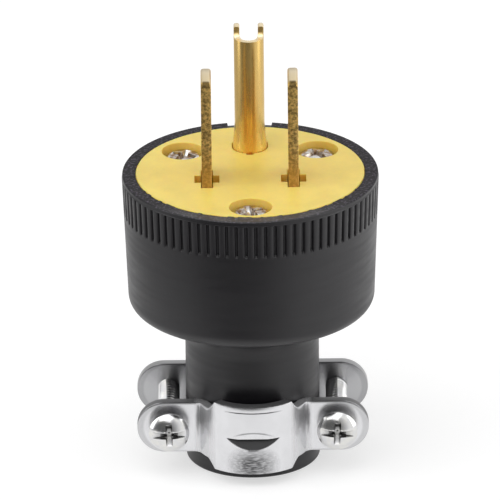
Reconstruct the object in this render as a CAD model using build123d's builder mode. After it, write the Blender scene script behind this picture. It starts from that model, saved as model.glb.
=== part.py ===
from build123d import *
from math import cos, radians, sin, sqrt
import os

# Cord plug with two flat blades and a ground pin. A one-piece vinyl shell with a ribbed head and a
# cord neck holds a screwed-in face, and a stamped clamp in two halves grips the neck.
# Millimetres. The origin is the centre of the neck's open end, +Z runs to the blade tips, and the
# two blades stand on the -Y side of the ground pin.

# Shell
face_height = 44.9
rim_radius = 18.87
shoulder_radius = 18.0
shoulder_height = 23.9
shoulder_round = 2.1
neck_radius = 9.82
neck_wall = 2.6
neck_fillet = 5.1
neck_end_bevel = 0.4
floor_thickness = 2.3
throat_bevel = 4.0
chamber_bevel = 1.0
rim_wall = 2.0
rim_edge_bevel = 0.2
ledge_width = 1.5
boss_radius = 2.9

# Ribbed grip under the rim
lip_height = 0.8
groove_length = 5.1
groove_count = 82
groove_mouth = 0.7
groove_floor = 0.3
groove_depth = 0.45

# Notch in the rim behind the ground pin
notch_width = 6.6
notch_depth = 0.6

# Face and terminal carrier
face_thickness = 4.6
face_edge = 0.15
carrier_thickness = 5.0
part_clearance = 0.06
slot_clearance = 0.1
window_length = 3.6
window_width = 2.6
window_depth = 2.0
key_width = 1.0
key_depth = 0.5

# Face screws
front_screw_inset = 3.77
side_screw_inset = 4.28
side_screw_angle = 38.9
counterbore_radius = 3.15
head_recess = 0.5
face_head_radius = 2.6
face_head_height = 2.4
face_head_edge = 2.1
face_shank_radius = 1.45
face_thread_reach = 6.5

# Blades
blade_spacing = 12.7
blade_line_y = -2.6
blade_width = 6.35
blade_thickness = 1.5
blade_length = 16.6
tip_bevel_width = 0.95
tip_bevel_height = 0.55

# Ground pin
ground_offset = 11.89
pin_radius = 2.2
pin_base_radius = 2.5
pin_flare_height = 3.3
pin_sheet = 0.85
pin_leg = 1.5
pin_length = 19.1
pin_front_drop = 1.6
pin_step_round = 1.2

# Wire terminals
foot_width = 8.0
foot_corner = 2.5
foot_margin = 1.0
blade_terminal_inset = 4.73
ground_terminal_offset = 6.2
wire_clamp_length = 4.6
wire_clamp_width = 5.4
wire_clamp_thickness = 1.0
bay_clearance = 0.2
terminal_head_radius = 2.3
terminal_head_height = 1.9
terminal_slot_width = 0.8
terminal_slot_depth = 1.0
terminal_shank_radius = 1.5
terminal_tip = 2.0
thread_clearance = 0.05
hole_clearance = 0.2

# Cord clamp
clamp_height = 7.5
clamp_sheet = 1.5
clamp_bend = 2.6
saddle_radius = 6.6
saddle_wrap = 57.8
saddle_width = 10.7
saddle_flat = 5.5
saddle_corner = 1.0
ear_width = 7.9
ear_end = 4.65
clamp_clearance = 0.05
crease_height = 0.16
crease_depth = 1.22
crease_rise = 1.21
crease_fall = 1.09
crease_root = 0.25
clamp_screw_gap = 2.53
clamp_head_radius = 2.97
clamp_head_height = 2.2
clamp_head_edge = 1.0
clamp_slot_width = 1.0
clamp_slot_depth = 0.8
clamp_shank_radius = 1.6
clamp_hole_clearance = 0.25
clamp_screw_tail = 1.6
collar_radius = 2.5
collar_height = 1.2
collar_entry = 0.5

# Heads of the face and clamp screws: flat top inside the slope, and a cross recess
head_top_radius = 1.7
recess_span = 3.0
recess_width = 0.85
recess_depth = 1.5
pilot_end = 0.7

# Levels and radii that follow from the sizes above
bore_radius = neck_radius - neck_wall
pocket_radius = rim_radius - rim_wall
chamber_radius = pocket_radius - ledge_width
ledge_height = face_height - face_thickness
carrier_base = ledge_height - carrier_thickness
floor_height = shoulder_height + floor_thickness
groove_base = face_height - lip_height - groove_length
pin_y = blade_line_y + ground_offset
blade_x = blade_spacing / 2
face_seat = face_height - head_recess - face_head_height
face_shank_length = face_seat - carrier_base + face_thread_reach
side_screw_x = (pocket_radius - side_screw_inset) * cos(radians(side_screw_angle))
side_screw_y = (pocket_radius - side_screw_inset) * sin(radians(side_screw_angle))
face_screw_places = {
    "face_screw_front": (0, front_screw_inset - pocket_radius),
    "face_screw_left": (-side_screw_x, side_screw_y),
    "face_screw_right": (side_screw_x, side_screw_y),
}
blade_terminal_x = chamber_radius - blade_terminal_inset
foot_reach = wire_clamp_length / 2 + foot_margin
clamp_screw_x = neck_radius + clamp_screw_gap
ear_reach = clamp_screw_x + ear_end

# Each terminal: the side its foot points to, where the foot starts, where it ends, the screw's place
# and the thickness of its sheet.
terminals = {
    "neutral": dict(
        out=(-1, 0),
        root=(-blade_x + blade_thickness / 2, blade_line_y),
        length=blade_terminal_x + foot_reach - blade_x + blade_thickness / 2,
        screw=(-blade_terminal_x, blade_line_y),
        sheet=blade_thickness,
    ),
    "hot": dict(
        out=(1, 0),
        root=(blade_x - blade_thickness / 2, blade_line_y),
        length=blade_terminal_x + foot_reach - blade_x + blade_thickness / 2,
        screw=(blade_terminal_x, blade_line_y),
        sheet=blade_thickness,
    ),
    "ground": dict(
        out=(0, -1),
        root=(0, pin_y - pin_base_radius + pin_sheet),
        length=ground_terminal_offset + foot_reach - pin_base_radius + pin_sheet,
        screw=(0, pin_y - ground_terminal_offset),
        sheet=pin_sheet,
    ),
}

# The clamp's bends just meet the neck, and the saddle's arc runs into them.
bend_x = (saddle_radius + clamp_bend) * sin(radians(saddle_wrap))
bend_y = sqrt((neck_radius + clamp_clearance + clamp_bend + clamp_sheet) ** 2 - bend_x**2)
saddle_y = bend_y - (saddle_radius + clamp_bend) * cos(radians(saddle_wrap))
ear_front = bend_y - clamp_bend
ear_back = ear_front - clamp_sheet
saddle_front = saddle_y + saddle_radius
inner_radius = saddle_radius - clamp_sheet
crease_half = sqrt((2 * inner_radius - crease_depth) * crease_depth) + crease_root


def export(piece, name):
    """Label one finished piece and write it as its own file."""
    piece.label = name
    export_step(piece, f"parts/{name}.step")


def channel_outline(radius, leg):
    """Filled outline of a U channel: half round towards -Y, straight legs towards +Y."""
    with BuildSketch(mode=Mode.PRIVATE) as outline:
        with BuildLine():
            Polyline((-radius, 0), (-radius, leg), (radius, leg), (radius, 0))
            ThreePointArc((-radius, 0), (0, -radius), (radius, 0))
        make_face()
    return outline.sketch


def channel_section(radius):
    """Sheet section of the ground pin at one outer radius."""
    with BuildSketch(mode=Mode.PRIVATE) as section:
        add(channel_outline(radius, pin_leg))
        add(channel_outline(radius - pin_sheet, pin_leg), mode=Mode.SUBTRACT)
    return section.sketch


def foot_outline(terminal, grow):
    """Outline of a terminal's foot, grown all round by a clearance."""
    with BuildSketch(mode=Mode.PRIVATE) as outline:
        with Locations((-grow, 0)):
            Rectangle(terminal["length"] + 2 * grow, foot_width + 2 * grow, align=(Align.MIN, Align.CENTER))
        fillet(outline.vertices().group_by(Axis.X)[-1], foot_corner + grow)
    return outline.sketch


def foot_plane(terminal, place, height):
    """Plane at a place on a terminal, with its X axis along the foot."""
    return Plane((*terminal[place], height), x_dir=(*terminal["out"], 0), z_dir=(0, 0, 1))


def pan_screw(seat, head_radius, head_height, head_edge, shank_radius, length):
    """Pan-head screw with a cross recess. The seat plane's normal points out of the head."""
    side = Plane(seat.origin, x_dir=seat.x_dir, z_dir=-seat.y_dir)
    with BuildPart() as screw:
        with BuildSketch(side):
            with BuildLine():
                Polyline(
                    (0, head_height),
                    (head_top_radius, head_height),
                    (head_radius, head_edge),
                    (head_radius, 0),
                    (shank_radius, 0),
                    (shank_radius, -length),
                    (0, -length),
                    close=True,
                )
            make_face()
        revolve(axis=Axis(seat.origin, seat.z_dir))
        with BuildSketch(seat.offset(head_height)):
            Rectangle(recess_span, recess_width)
            Rectangle(recess_width, recess_span)
        extrude(amount=-recess_depth, mode=Mode.SUBTRACT)
    return screw.part


os.makedirs("parts", exist_ok=True)

# Shell: the revolved wall, the screw bosses inside it, the grooves of the grip and the rim's notch.
with BuildPart() as body_shell:
    with BuildSketch(Plane.XZ) as wall:
        with BuildLine():
            Polyline(
                (bore_radius, 0),
                (neck_radius, 0),
                (neck_radius, shoulder_height),
                (shoulder_radius, shoulder_height),
                (rim_radius, face_height),
                (pocket_radius, face_height),
                (pocket_radius, ledge_height),
                (chamber_radius, ledge_height),
                (chamber_radius, floor_height),
                (bore_radius, floor_height),
                close=True,
            )
        make_face()
        neck_room = shoulder_radius - neck_radius - shoulder_round
        for corner, corner_round in (
            ((neck_radius, shoulder_height), min(neck_fillet, neck_room)),
            ((shoulder_radius, shoulder_height), shoulder_round),
        ):
            fillet(wall.vertices().sort_by_distance(corner)[0], corner_round)
        for corner, bevel in (
            ((neck_radius, 0), neck_end_bevel),
            ((rim_radius, face_height), rim_edge_bevel),
            ((chamber_radius, floor_height), chamber_bevel),
            ((bore_radius, floor_height), throat_bevel),
        ):
            chamfer(wall.vertices().sort_by_distance(corner)[0], bevel)
    revolve(axis=Axis.Z)
    with BuildSketch(Plane.XY.offset(floor_height)):
        with Locations(*face_screw_places.values()):
            Circle(boss_radius)
    extrude(amount=carrier_base - floor_height)
    with BuildSketch(Plane.XY.offset(carrier_base)):
        with Locations(*face_screw_places.values()):
            Circle(face_shank_radius + thread_clearance)
    extrude(amount=-face_thread_reach - pilot_end, mode=Mode.SUBTRACT)
    with BuildSketch(Plane.XY.offset(groove_base)):
        with PolarLocations(rim_radius, groove_count):
            Polygon(
                (-groove_depth, -groove_floor / 2),
                (0, -groove_mouth / 2),
                (groove_depth, -groove_mouth / 2),
                (groove_depth, groove_mouth / 2),
                (0, groove_mouth / 2),
                (-groove_depth, groove_floor / 2),
                align=None,
            )
    extrude(amount=groove_length, mode=Mode.SUBTRACT)
    with BuildSketch(Plane.XY.offset(face_height)):
        with Locations((0, pocket_radius)):
            Rectangle(notch_width, 2 * rim_wall)
    extrude(amount=-notch_depth, mode=Mode.SUBTRACT)
export(body_shell.part, "body_shell")

# Face: sunk screw seats, a slot and a cross window at each blade, and the pin's opening.
with BuildPart() as face_plate:
    with BuildSketch(Plane.XY.offset(ledge_height)):
        Circle(pocket_radius - part_clearance)
    extrude(amount=face_thickness)
    chamfer(face_plate.edges().group_by(Axis.Z)[-1], face_edge)
    with Locations(*[(x, y, face_height) for x, y in face_screw_places.values()]):
        CounterBoreHole(face_shank_radius + hole_clearance, counterbore_radius, face_height - face_seat)
    with BuildSketch(Plane.XY.offset(ledge_height)):
        with Locations((-blade_x, blade_line_y), (blade_x, blade_line_y)):
            Rectangle(blade_thickness + 2 * slot_clearance, blade_width + 2 * slot_clearance)
    extrude(amount=face_thickness, mode=Mode.SUBTRACT)
    with BuildSketch(Plane.XY.offset(face_height)):
        with Locations((-blade_x, blade_line_y), (blade_x, blade_line_y)):
            Rectangle(window_length, window_width)
    extrude(amount=-window_depth, mode=Mode.SUBTRACT)
    with BuildSketch(Plane((0, pin_y, ledge_height))):
        add(channel_outline(pin_base_radius + slot_clearance, pin_leg + slot_clearance))
        with Locations((0, -pin_base_radius)):
            Rectangle(key_width, 2 * key_depth)
    extrude(amount=face_thickness, mode=Mode.SUBTRACT)
    with BuildSketch(Plane.XY.offset(ledge_height)):
        with Locations(*[terminal["screw"] for terminal in terminals.values()]):
            Circle(terminal_shank_radius + hole_clearance)
    extrude(amount=terminal_tip + hole_clearance, mode=Mode.SUBTRACT)
export(face_plate.part, "face_plate")

# Carrier: pockets that trap the feet against the face, and a bay under each wire terminal.
with BuildPart() as terminal_carrier:
    with BuildSketch(Plane.XY.offset(carrier_base)):
        Circle(chamber_radius - part_clearance)
        with Locations(*face_screw_places.values()):
            Circle(face_shank_radius + hole_clearance, mode=Mode.SUBTRACT)
    extrude(amount=carrier_thickness)
    for terminal in terminals.values():
        with BuildSketch(foot_plane(terminal, "screw", carrier_base)):
            Rectangle(wire_clamp_length + 2 * bay_clearance, wire_clamp_width + 2 * bay_clearance)
        extrude(amount=carrier_thickness, mode=Mode.SUBTRACT)
        with BuildSketch(foot_plane(terminal, "root", ledge_height)):
            add(foot_outline(terminal, slot_clearance))
        extrude(amount=-terminal["sheet"], mode=Mode.SUBTRACT)
    with BuildSketch(Plane((0, pin_y, ledge_height))):
        add(channel_outline(pin_base_radius + slot_clearance, pin_leg + slot_clearance))
    extrude(amount=-pin_sheet, mode=Mode.SUBTRACT)
export(terminal_carrier.part, "terminal_carrier")

# Blades: a flat upright with bevelled tip corners, and a foot turned outwards under the face.
for side, name in ((-1, "neutral"), (1, "hot")):
    terminal = terminals[name]
    with BuildPart() as blade:
        with BuildSketch(Plane((side * blade_x, blade_line_y, 0), x_dir=(0, 1, 0), z_dir=(1, 0, 0))):
            with BuildLine():
                Polyline(
                    (-blade_width / 2, ledge_height - blade_thickness),
                    (-blade_width / 2, face_height + blade_length - tip_bevel_height),
                    (-blade_width / 2 + tip_bevel_width, face_height + blade_length),
                    (blade_width / 2 - tip_bevel_width, face_height + blade_length),
                    (blade_width / 2, face_height + blade_length - tip_bevel_height),
                    (blade_width / 2, ledge_height - blade_thickness),
                    close=True,
                )
            make_face()
        extrude(amount=blade_thickness / 2, both=True)
        with BuildSketch(foot_plane(terminal, "root", ledge_height)):
            add(foot_outline(terminal, 0))
        extrude(amount=-blade_thickness)
        with BuildSketch(Plane.XY.offset(ledge_height)):
            with Locations(terminal["screw"]):
                Circle(terminal_shank_radius + thread_clearance)
        extrude(amount=-blade_thickness, mode=Mode.SUBTRACT)
    export(blade.part, f"{name}_blade")

# Ground pin: a folded channel that flares at the face, with its front cut down at the tip.
with BuildPart() as ground_pin:
    with BuildSketch(Plane((0, pin_y, ledge_height - pin_sheet))):
        add(channel_section(pin_base_radius))
    extrude(amount=face_thickness + pin_sheet)
    with BuildSketch(Plane((0, pin_y, face_height))):
        add(channel_section(pin_base_radius))
    with BuildSketch(Plane((0, pin_y, face_height + pin_flare_height))):
        add(channel_section(pin_radius))
    loft()
    with BuildSketch(Plane((0, pin_y, face_height + pin_flare_height))):
        add(channel_section(pin_radius))
    extrude(amount=pin_length - pin_flare_height)
    with BuildSketch(Plane.YZ) as tip_step:
        with Locations((pin_y, face_height + pin_length - pin_front_drop)):
            Rectangle(2 * pin_radius, 2 * pin_front_drop, align=(Align.MAX, Align.MIN))
        fillet(tip_step.vertices().group_by(Axis.Y)[0].sort_by(Axis.X)[-1], pin_step_round)
    extrude(amount=2 * pin_radius, both=True, mode=Mode.SUBTRACT)
    with BuildSketch(foot_plane(terminals["ground"], "root", ledge_height)):
        add(foot_outline(terminals["ground"], 0))
    extrude(amount=-pin_sheet)
    with BuildSketch(Plane.XY.offset(ledge_height)):
        with Locations(terminals["ground"]["screw"]):
            Circle(terminal_shank_radius + thread_clearance)
    extrude(amount=-pin_sheet, mode=Mode.SUBTRACT)
export(ground_pin.part, "ground_pin")

# Wire clamps and terminal screws, hung under the feet with the heads towards the wire chamber.
for name, terminal in terminals.items():
    clamp_base = ledge_height - terminal["sheet"] - wire_clamp_thickness
    with BuildPart() as wire_clamp:
        with BuildSketch(foot_plane(terminal, "screw", clamp_base)):
            Rectangle(wire_clamp_length, wire_clamp_width)
            Circle(terminal_shank_radius + hole_clearance, mode=Mode.SUBTRACT)
        extrude(amount=wire_clamp_thickness)
    export(wire_clamp.part, f"{name}_wire_clamp")
    with BuildPart() as terminal_screw:
        with BuildSketch(foot_plane(terminal, "screw", clamp_base)):
            Circle(terminal_shank_radius)
        extrude(amount=wire_clamp_thickness + terminal["sheet"] + terminal_tip)
        with BuildSketch(foot_plane(terminal, "screw", clamp_base - terminal_head_height)):
            Circle(terminal_head_radius)
        extrude(amount=terminal_head_height)
        with BuildSketch(foot_plane(terminal, "screw", clamp_base - terminal_head_height)):
            Rectangle(2 * terminal_head_radius, terminal_slot_width)
        extrude(amount=terminal_slot_depth, mode=Mode.SUBTRACT)
    export(terminal_screw.part, f"{name}_terminal_screw")

# Face screws, through the face and the carrier into the shell's bosses.
for name, place in face_screw_places.items():
    face_screw = pan_screw(
        Plane((*place, face_seat)),
        face_head_radius,
        face_head_height,
        face_head_edge,
        face_shank_radius,
        face_shank_length,
    )
    export(face_screw, name)

# Clamp blank: a bent strip with a bowed saddle, trimmed to its outline and creased to bite the cord.
clamp_centre = Plane((0, 0, clamp_height))
with BuildPart() as clamp_blank:
    with BuildSketch(clamp_centre):
        with BuildLine():
            for radius, ear_line, bend in (
                (saddle_radius, ear_front, clamp_bend),
                (inner_radius, ear_back, clamp_bend + clamp_sheet),
            ):
                CenterArc((0, -saddle_y), radius, 270 - saddle_wrap, 2 * saddle_wrap)
                CenterArc((bend_x, -bend_y), bend, 90, saddle_wrap)
                CenterArc((-bend_x, -bend_y), bend, 90 - saddle_wrap, saddle_wrap)
                Line((bend_x, -ear_line), (ear_reach, -ear_line))
                Line((-bend_x, -ear_line), (-ear_reach, -ear_line))
            Line((ear_reach, -ear_front), (ear_reach, -ear_back))
            Line((-ear_reach, -ear_front), (-ear_reach, -ear_back))
        make_face()
    extrude(amount=saddle_width / 2, both=True)
    with BuildSketch(Plane((0, 0, clamp_height), x_dir=(1, 0, 0), z_dir=(0, -1, 0))) as outline:
        SlotOverall(2 * ear_reach, ear_width)
        Polygon(
            (bend_x, ear_width / 2),
            (saddle_flat, saddle_width / 2),
            (-saddle_flat, saddle_width / 2),
            (-bend_x, ear_width / 2),
            (-bend_x, -ear_width / 2),
            (-saddle_flat, -saddle_width / 2),
            (saddle_flat, -saddle_width / 2),
            (bend_x, -ear_width / 2),
            align=None,
        )
        saddle_ends = outline.vertices().group_by(Axis.Y)
        fillet(saddle_ends[0] + saddle_ends[-1], saddle_corner)
    extrude(amount=saddle_front, mode=Mode.INTERSECT)
    crease_line = clamp_height + crease_height
    crease_reach = 1 + crease_root / crease_depth
    for surface, half_width, mode in (
        (-saddle_front, saddle_radius, Mode.SUBTRACT),
        (-saddle_front + clamp_sheet, crease_half, Mode.ADD),
    ):
        with BuildSketch(Plane.YZ):
            with BuildLine():
                Polyline(
                    (surface - crease_root, crease_line + crease_rise * crease_reach),
                    (surface + crease_depth, crease_line),
                    (surface - crease_root, crease_line - crease_fall * crease_reach),
                    close=True,
                )
            make_face()
        extrude(amount=half_width, both=True, mode=mode)

# Front half: clearance holes for the screws.
with BuildPart() as front_clamp_half:
    add(clamp_blank.part)
    with BuildSketch(Plane((0, -ear_front, clamp_height), x_dir=(1, 0, 0), z_dir=(0, -1, 0))):
        with Locations((-clamp_screw_x, 0), (clamp_screw_x, 0)):
            Circle(clamp_shank_radius + clamp_hole_clearance)
    extrude(amount=-clamp_sheet, mode=Mode.SUBTRACT)
export(front_clamp_half.part, "front_clamp_half")

# Rear half: the same blank turned round, with drawn collars that take the screws' threads.
with BuildPart() as rear_clamp_half:
    add(mirror(clamp_blank.part, about=Plane.XZ, mode=Mode.PRIVATE))
    with BuildSketch(Plane((0, ear_front, clamp_height), x_dir=(1, 0, 0), z_dir=(0, 1, 0))):
        with Locations((-clamp_screw_x, 0), (clamp_screw_x, 0)):
            Circle(collar_radius)
    extrude(amount=collar_height)
    with BuildSketch(Plane((0, ear_back, clamp_height), x_dir=(1, 0, 0), z_dir=(0, 1, 0))):
        with Locations((-clamp_screw_x, 0), (clamp_screw_x, 0)):
            Circle(clamp_shank_radius + thread_clearance)
    extrude(amount=clamp_sheet + collar_height, mode=Mode.SUBTRACT)
    entries = rear_clamp_half.edges().filter_by(GeomType.CIRCLE).group_by(Axis.Y)[0]
    chamfer(entries.filter_by(lambda edge: edge.is_closed), collar_entry)
export(rear_clamp_half.part, "rear_clamp_half")

# Clamp screws: heads on the front half, slotted as well, and threads in the rear half's collars.
for side, name in ((-1, "left_clamp_screw"), (1, "right_clamp_screw")):
    seat = Plane((side * clamp_screw_x, -ear_front, clamp_height), x_dir=(1, 0, 0), z_dir=(0, -1, 0))
    with BuildPart() as clamp_screw:
        add(
            pan_screw(
                seat,
                clamp_head_radius,
                clamp_head_height,
                clamp_head_edge,
                clamp_shank_radius,
                2 * ear_front + collar_height + clamp_screw_tail,
            )
        )
        with BuildSketch(seat.offset(clamp_head_height)):
            Rectangle(2 * clamp_head_radius, clamp_slot_width)
        extrude(amount=-clamp_slot_depth, mode=Mode.SUBTRACT)
    export(clamp_screw.part, name)
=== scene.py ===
from functools import partial
from math import atan2, cos, pi, radians, sin, sqrt, tan, tau

import bmesh
import bpy
from bpy.types import Node, NodeSocket, Operator, Panel, PropertyGroup, Scene
from mathutils import Matrix, Vector


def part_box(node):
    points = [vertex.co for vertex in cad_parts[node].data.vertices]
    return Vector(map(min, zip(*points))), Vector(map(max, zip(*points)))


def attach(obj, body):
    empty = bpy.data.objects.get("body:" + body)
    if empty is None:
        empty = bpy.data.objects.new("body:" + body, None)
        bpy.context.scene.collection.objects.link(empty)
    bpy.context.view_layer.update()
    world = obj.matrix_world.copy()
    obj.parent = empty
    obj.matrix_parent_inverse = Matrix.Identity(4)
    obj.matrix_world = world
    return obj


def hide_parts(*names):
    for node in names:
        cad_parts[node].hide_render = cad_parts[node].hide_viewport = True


bl_info = {
    "name": "Grounded cord plug",
    "version": (1, 0, 0),
    "blender": (4, 5, 0),
    "location": "3D View > Sidebar > Cord plug",
    "description": "Dresses the packed solids of a grounded cord plug for a studio picture",
    "category": "Object",
}

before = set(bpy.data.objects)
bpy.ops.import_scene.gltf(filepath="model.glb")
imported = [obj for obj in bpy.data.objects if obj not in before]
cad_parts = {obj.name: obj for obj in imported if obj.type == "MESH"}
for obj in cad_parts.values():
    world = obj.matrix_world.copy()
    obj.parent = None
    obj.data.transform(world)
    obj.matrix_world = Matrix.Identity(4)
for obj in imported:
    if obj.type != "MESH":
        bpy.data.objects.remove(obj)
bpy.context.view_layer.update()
shell_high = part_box("body_shell")[1]
face_low, face_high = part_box("face_plate")
carrier_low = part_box("terminal_carrier")[0]

MM = 0.001
BODY = "root"
SAME_POINT = 0.001 * MM
SAME_PLANE = radians(0.5)
SHARP = radians(35)
FACE_SCREWS = ("face_screw_front", "face_screw_left", "face_screw_right")
CLAMP_SCREWS = ("left_clamp_screw", "right_clamp_screw")
# The setting with which a Mix node mixes colours.
COLOURS = {"data_type": "RGBA"}


def linear(hex_colour):
    """Turn an sRGB hex colour into the linear one that shaders take."""
    channels = [int(hex_colour[start:start + 2], 16) / 255 for start in (1, 3, 5)]
    return tuple(c / 12.92 if c <= 0.04045 else ((c + 0.055) / 1.055) ** 2.4 for c in channels)


def number(name, description, default, **kind):
    """A number that the user can change, with its unit or subtype."""
    return bpy.props.FloatProperty(name=name, description=description, default=default, **kind)


def length(name, description, millimetres):
    """A size given in millimetres, kept in metres and shown with its unit."""
    return number(name, description, millimetres * MM, unit="LENGTH", precision=5, min=0.0)


def colour(name, description, hex_colour):
    """A colour that the user can change, from an sRGB hex value."""
    return bpy.props.FloatVectorProperty(
        name=name, description=description, subtype="COLOR", size=3, min=0.0, max=1.0,
        default=linear(hex_colour),
    )


class PlugShellSettings(PropertyGroup):
    """Sizes of the moulded shell that its packed box doesn't give."""

    neck_radius: length("Neck radius", "Outer radius of the cord neck", 9.82)
    bore_radius: length("Bore radius", "Radius of the cord's way through the neck", 7.22)
    neck_fillet: length("Neck fillet", "Radius where the neck runs into the head", 5.1)
    neck_edge: length("Neck edge", "Round of the neck's open end", 0.4)
    shoulder_radius: length("Shoulder radius", "Radius of the head at its lower end", 18.0)
    shoulder_height: length("Shoulder height", "Height of the head's underside", 23.9)
    shoulder_round: length("Shoulder round", "Radius of the head's lower edge", 2.1)
    floor_height: length("Chamber floor", "Height of the wire chamber's floor", 26.2)
    throat: length("Throat", "Bevel from the chamber into the bore", 4.0)
    rim_wall: length("Rim wall", "Width of the flat rim round the face", 2.0)
    rim_edge: length("Rim edge", "Round of the rim's outer edge", 0.25)
    rim_fall: length("Rim fall", "How far the rim's top drops towards its outer edge", 0.05)
    ledge_width: length("Ledge width", "Width of the ledge that the face sits on", 1.5)
    rim_dip: length("Rim dip", "How far the rim's top drops towards the face", 0.1)
    flash: length("Flash", "Most that the ragged skin of the rim lies over the face", 0.11)
    lip_height: length("Lip height", "Plain band above the grooves", 0.8)
    lip_inset: length("Lip inset", "Step from the grip in to the plain band", 0.08)
    groove_length: length("Groove length", "Length of a grip groove", 5.1)
    groove_depth: length("Groove depth", "Depth of a grip groove", 0.45)
    groove_mouth: length("Groove mouth", "Width of a grip groove at the surface", 0.56)
    groove_floor: length("Groove floor", "Width of a grip groove at its bottom", 0.28)
    groove_run: length("Groove run", "Length of the slope at a groove's lower end", 0.3)
    groove_soft: length("Groove softness", "Round of the grooves' edges", 0.07)
    groove_count: bpy.props.IntProperty(
        name="Groove count", description="Grooves round the grip", default=82, min=3
    )
    notch_width: length("Notch width", "Width of the rim's notch behind the pin", 6.6)
    notch_depth: length("Notch depth", "Depth of the rim's notch behind the pin", 0.6)
    boss_radius: length("Boss radius", "Radius of the bosses that take the face screws", 2.9)
    vinyl: colour("Vinyl", "Colour of the moulded shell", "#141216")


class PlugFaceSettings(PropertyGroup):
    """Finish of the face and the terminal carrier."""

    edge: length("Edge", "Round of the face's edges and holes", 0.12)
    nylon: colour("Nylon", "Colour of the moulded face", "#F2D76D")
    # The face's walls and holes take this colour as painted shade.
    deep: colour("Deep nylon", "Colour of the face down in its holes", "#E9C75C")


class PlugContactSettings(PropertyGroup):
    """Finish of the blades, the ground pin and the wire terminals."""

    blade_edge: length("Blade edge", "Round of the blades' edges", 0.1)
    tip_round: length("Tip round", "Round of the blades' tips", 0.38)
    # The blades' sheared noses above this height are painted dark: a painted reflection.
    nose_height: length("Nose height", "Height above which the blades' sheared edges are grimed", 60.9)
    tip_length: length("Tip length", "Length of the blades' tips that is rounded", 1.2)
    pin_tip: length("Pin tip", "Round of the pin's two prongs", 0.28)
    pin_edge: length("Pin edge", "Round of the pin's sheet edges", 0.08)
    terminal_edge: length("Terminal edge", "Round of the terminals' edges", 0.08)
    brass: colour("Brass", "Colour of bright drawn brass", "#D8B66E")
    tarnish: colour("Tarnish", "Colour of the sheared brass edges", "#B89A5E")
    # Pale brass is a painted highlight on faces that look up.
    pale: colour("Pale brass", "Colour of the tips that outlets have rubbed bright", "#F4E6C6")
    # On the blades and the pin, amber near the face and the foot colour below are a painted reflection of
    # the yellow face.
    amber: colour("Amber", "Colour of the pin's warm stain near the face", "#F0B85A")
    rubbed: colour("Rubbed brass", "Colour of the ground pin's foot, rubbed bright", "#FCE08C")
    green: colour("Green dye", "Colour of the ground terminal's screw", "#2F7A3C")


class PlugClampSettings(PropertyGroup):
    """Sizes and finish of the clamp halves and all the cross-recess screws."""

    sheet: length("Sheet", "Thickness of the clamp's sheet", 1.5)
    sheet_edge: length("Sheet edge", "Round of the clamp sheet's edges", 0.14)
    ear_width: length("Ear width", "Height of the clamp's ears", 7.9)
    ear_front: length("Ear front", "Distance of the ears' outer faces from the middle of the neck", 7.8)
    bend_radius: length("Bend radius", "Radius of the bends between saddle and ears", 1.2)
    saddle_half: length("Saddle half", "Half the length of the saddle's full height", 5.2)
    saddle_root: length("Saddle root", "Where the saddle's shoulders reach the ears' height", 6.1)
    crease_height: length("Crease height", "Height of the crease over the saddle's middle", 0.16)
    crease_depth: length("Crease depth", "Depth of the crease that bites the cord", 0.95)
    crease_rise: length("Crease rise", "Height of the facet over the crease", 1.1)
    crease_facet: length("Crease facet", "Depth of the facet over the crease at its lower edge", 0.3)
    crease_fall: length("Crease fall", "Height of the slope out of the crease", 1.62)
    hole_clearance: length("Hole clearance", "Room round the screws in the front half", 0.25)
    collar_radius: length("Collar radius", "Outer radius of the rear half's threaded collars", 2.5)
    collar_height: length("Collar height", "How far those collars stand out", 1.2)
    bend_place: length("Bend place", "Middle of the bends that stay bright at their edges", 7.1)
    # The pressed line has no relief: it is only painted dark as shade.
    bend_mark: length("Bend mark", "Height of the thin line pressed into the saddles", 11.9)
    face_head_height: length("Face head height", "Height of a face screw's head", 2.4)
    face_head_edge: length("Face head edge", "Height of a face head's straight side", 2.1)
    clamp_head_height: length("Clamp head height", "Height of a clamp screw's head", 2.2)
    clamp_head_edge: length("Clamp head edge", "Height of a clamp head's straight side", 1.0)
    face_shank: length("Face shank", "Thread radius of a face screw", 1.45)
    clamp_shank: length("Clamp shank", "Thread radius of a clamp screw", 1.6)
    pitch: length("Pitch", "Distance from one thread to the next", 0.9)
    thread_depth: length("Thread depth", "Depth of the threads", 0.3)
    recess_span: length("Recess span", "Tip to tip size of the cross recess", 4.2)
    recess_width: length("Recess width", "Width of the recess's wings", 1.0)
    recess_depth: length("Recess depth", "Depth of the recess at its centre", 1.6)
    slot_width: length("Slot width", "Width of the clamp heads' driver slot", 1.0)
    slot_depth: length("Slot depth", "Depth of the clamp heads' driver slot", 0.8)
    zinc: colour("Zinc", "Colour of the plated clamp sheet", "#DEDEE0")
    bright: colour("Bright plating", "Colour of the plated screws", "#D9D8D5")
    film: colour("Film", "Tint of the passivation on the face screws", "#8C6A44")


class PlugStageSettings(PropertyGroup):
    """Camera and light."""

    elevation: number("Elevation", "Camera's angle above level", radians(23.5), subtype="ANGLE")
    roll: number("Roll", "Turn of the camera about its line of sight", radians(-0.66), subtype="ANGLE")
    distance: length("Distance", "Camera's distance from the middle of the picture", 3000.0)
    target_height: length("Target height", "Height of the picture's middle on the axis", 32.34)
    target_shift: number(
        "Target shift", "Sideways place of the picture's middle", -0.16 * MM, unit="LENGTH", precision=5
    )
    lens: number("Lens", "Focal length on a 36 mm sensor", 1472.0, subtype="DISTANCE_CAMERA")
    backdrop: colour("Backdrop", "Colour of the backdrop and the floor", "#FFFFFF")
    fill: number("Fill", "Level of the light from all round", 0.55, min=0.0)
    key_power: number("Key power", "Power of the overhead softbox", 1.95, unit="POWER", min=0.0)
    side_power: number("Side power", "Power of each side strip", 0.8, unit="POWER", min=0.0)


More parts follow.
